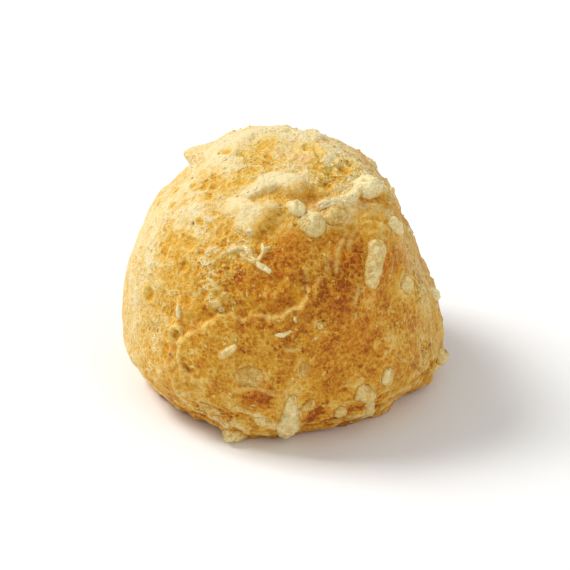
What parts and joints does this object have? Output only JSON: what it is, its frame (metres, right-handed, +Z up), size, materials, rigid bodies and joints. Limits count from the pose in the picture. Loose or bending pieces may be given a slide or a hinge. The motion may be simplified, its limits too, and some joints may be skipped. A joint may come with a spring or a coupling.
{
  "type": "cheese puff",
  "caption": "Baked cheese choux puff: a lumpy golden dome with a torn front, a pulled tip and a flat browned base to rest on.",
  "frame": {"origin": "middle of the footprint's bounding box, on the flat base", "axes": "+Z up, -Y towards the torn front, -X towards the pulled tip"},
  "size_m": [0.0548, 0.0538, 0.0425],
  "materials": {
    "crust": "baked golden choux crust, dull, with a slight buttery sheen",
    "cheese": "baked pale cheese shreds, slightly oily"
  },
  "bodies": {
    "root": {"puff": "crust"}
  },
  "joints": []
}
